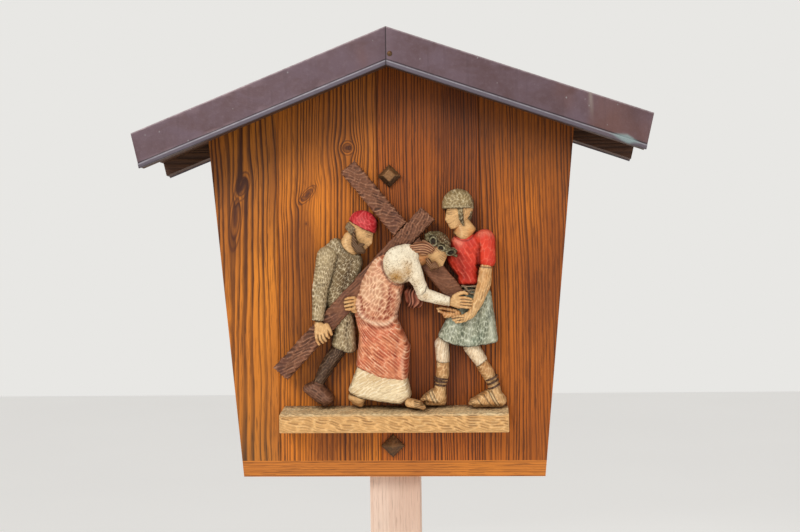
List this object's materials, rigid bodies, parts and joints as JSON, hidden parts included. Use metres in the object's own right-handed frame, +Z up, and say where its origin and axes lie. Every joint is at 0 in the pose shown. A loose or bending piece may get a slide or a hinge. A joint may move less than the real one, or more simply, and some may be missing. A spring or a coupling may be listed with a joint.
{
  "type": "wayside shrine on a post",
  "caption": "Wayside shrine on a timber post: stained board panel under a small gabled copper roof, with a painted wood relief of three figures and a cross on a ledge.",
  "frame": {"origin": "centre of the post's flat foot, where it meets its footing", "axes": "+Z up the post, +X to the viewer's right, -Y towards the viewer, out of the pictured side"},
  "size_m": [0.6919, 0.1572, 1.807],
  "materials": {
    "stained_board": "honey-brown stained softwood with dark vertical grain, slight sheen",
    "pale_post_wood": "bleached bare softwood",
    "dark_roof_wood": "dark stained softwood",
    "weathered_copper": "oxidised mauve-brown copper sheet with pale edges and a little verdigris",
    "forged_iron": "dark bronze-brown forged iron",
    "carved_limewood": "gouge-cut light wood",
    "brown_stained_carving": "gouge-cut wood, purple-brown stain",
    "crimson_paint": "carved wood, crimson glaze",
    "olive_grey_paint": "carved wood, olive-grey glaze with dark cuts",
    "dark_brown_paint": "carved wood, dark brown glaze",
    "salmon_paint": "carved wood, salmon glaze with pale ridges",
    "cream_paint": "carved wood, cream paint with ochre patina",
    "red_paint": "carved wood, bright red glaze",
    "pale_teal_paint": "carved wood, pale grey-teal with dark green patina",
    "moss_grey_paint": "carved wood, moss-grey glaze",
    "flesh_paint": "carved wood, tan-ochre flesh glaze"
  },
  "bodies": {
    "root": {"bearer_feet": "flesh_paint", "bearer_hands": "flesh_paint", "bearer_head": "flesh_paint", "bearer_robe": "salmon_paint", "bearer_sleeve": "cream_paint", "bearer_underskirt": "cream_paint", "board_far_left": "stained_board", "board_far_right": "stained_board", "board_left": "stained_board", "board_right": "stained_board", "bottom_rail": "stained_board", "cross_beam": "brown_stained_carving", "cross_upright": "brown_stained_carving", "front_barge_left": "dark_roof_wood", "front_barge_right": "dark_roof_wood", "guard_arm": "flesh_paint", "guard_head": "flesh_paint", "guard_helmet": "moss_grey_paint", "guard_leggings": "cream_paint", "guard_legs": "flesh_paint", "guard_skirt": "pale_teal_paint", "guard_tunic": "red_paint", "hanging_fold": "brown_stained_carving", "helper_breeches": "olive_grey_paint", "helper_cap": "crimson_paint", "helper_hand": "flesh_paint", "helper_head": "flesh_paint", "helper_shoe": "dark_brown_paint", "helper_sleeve": "olive_grey_paint", "helper_stocking": "dark_brown_paint", "helper_tunic": "olive_grey_paint", "lower_batten": "stained_board", "nail_lower": "forged_iron", "nail_upper": "forged_iron", "post": "pale_post_wood", "rear_barge_left": "dark_roof_wood", "rear_barge_right": "dark_roof_wood", "relief_ledge": "carved_limewood", "ridge_rivet": "weathered_copper", "roof_deck_left": "dark_roof_wood", "roof_deck_right": "dark_roof_wood", "roof_sheet_left": "weathered_copper", "roof_sheet_right": "weathered_copper", "thorn_crown": "moss_grey_paint", "upper_batten": "stained_board"}
  },
  "joints": []
}
